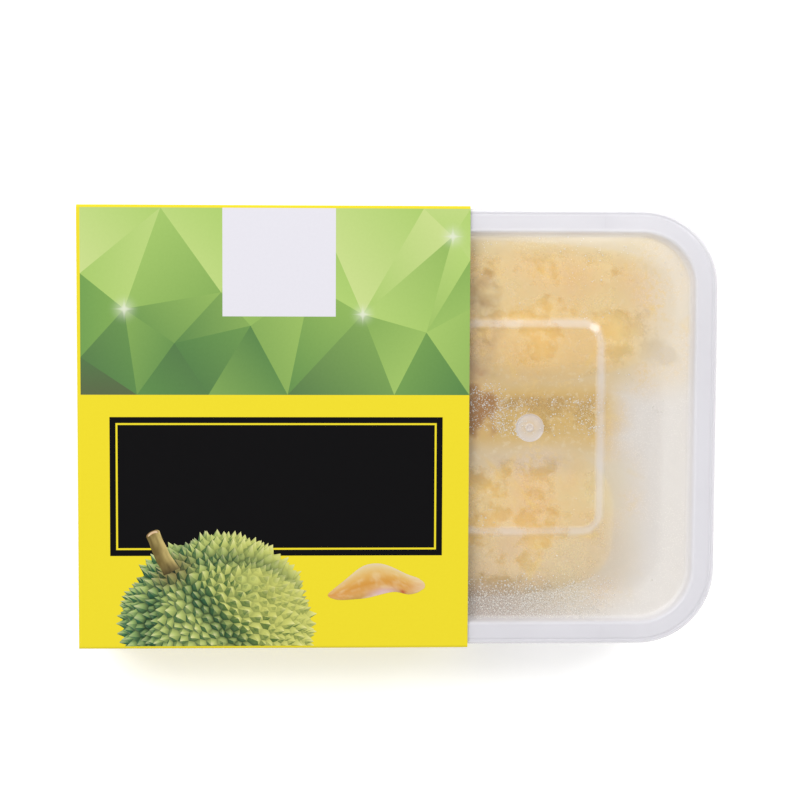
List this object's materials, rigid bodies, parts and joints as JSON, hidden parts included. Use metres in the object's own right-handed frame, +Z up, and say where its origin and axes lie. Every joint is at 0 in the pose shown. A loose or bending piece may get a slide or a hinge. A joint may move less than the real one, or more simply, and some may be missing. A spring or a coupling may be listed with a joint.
{
  "type": "sleeved tub of durian flesh",
  "caption": "Shallow translucent tub with a press-on lid, filled with pale yellow lobes of durian flesh, in a printed card sleeve that slides off sideways.",
  "frame": {"origin": "middle of the whole pack's footprint with the sleeve drawn off as at rest, on the surface it lies on", "axes": "+X the way the sleeve slides on to the tub, from the sleeve's open end towards the tub's bare end; +Y across the pack; +Z up through the lid"},
  "size_m": [0.2552, 0.177, 0.0535],
  "materials": {
    "printed_card": "printed folding card with a light gloss varnish",
    "milky_plastic": "translucent milky polypropylene, smooth, fogged inside",
    "durian_flesh": "soft creamy fruit flesh with a damp sheen"
  },
  "bodies": {
    "filled_tub": {"tub": "milky_plastic", "lid": "milky_plastic", "durian_lobe_upper": "durian_flesh", "durian_lobe_lower": "durian_flesh", "durian_lobe_middle": "durian_flesh"},
    "sleeve": {"card_sleeve": "printed_card"}
  },
  "joints": [
    {"name": "sleeve_slide", "type": "slide", "parent": "filled_tub", "child": "sleeve", "axis": [1, 0, 0], "range_m": [-0.03, 0.1024]}
  ]
}
